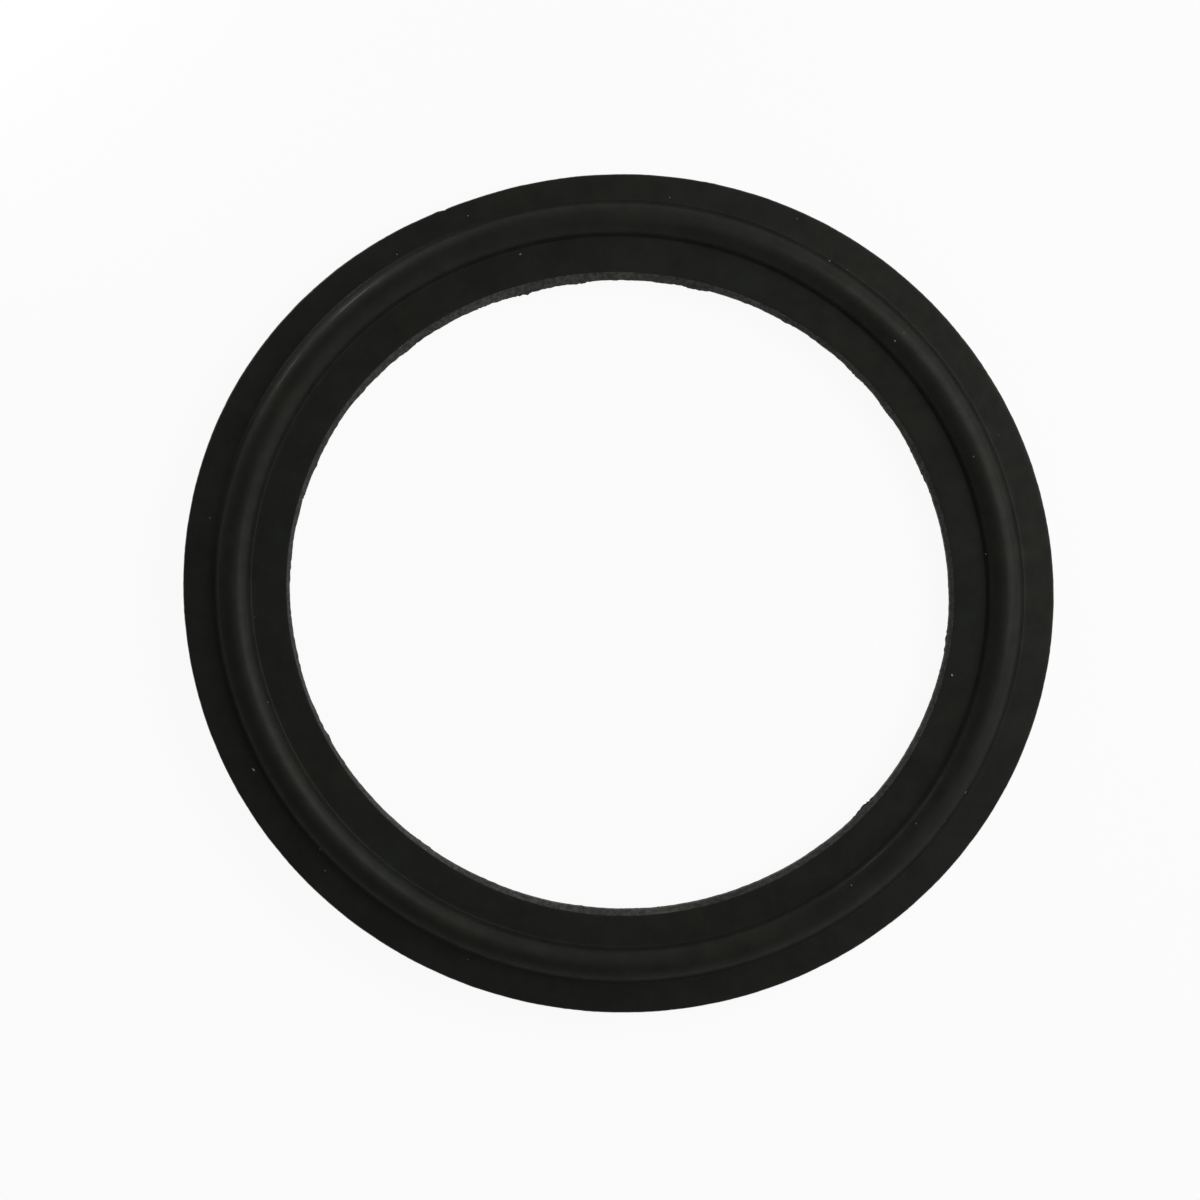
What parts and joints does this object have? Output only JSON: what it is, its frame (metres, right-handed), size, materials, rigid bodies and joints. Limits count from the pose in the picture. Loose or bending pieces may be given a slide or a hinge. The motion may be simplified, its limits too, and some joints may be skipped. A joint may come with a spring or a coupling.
{
  "type": "sanitary clamp gasket",
  "caption": "Flat moulded rubber ring with a round-crowned sealing bead on each face, clamped between flanged hygienic ferrules to seal a tube joint.",
  "frame": {"origin": "centre of the ring on its mid-plane, halfway between the two faces and on the bore axis", "axes": "+Z along the bore axis, out of the upper face; the ring is round about Z, so +X and +Y are any two square directions in its mid-plane"},
  "size_m": [0.064, 0.064, 0.0042],
  "materials": {
    "rubber": "matte moulded"
  },
  "bodies": {
    "root": {"clamp_gasket": "rubber"}
  },
  "joints": []
}
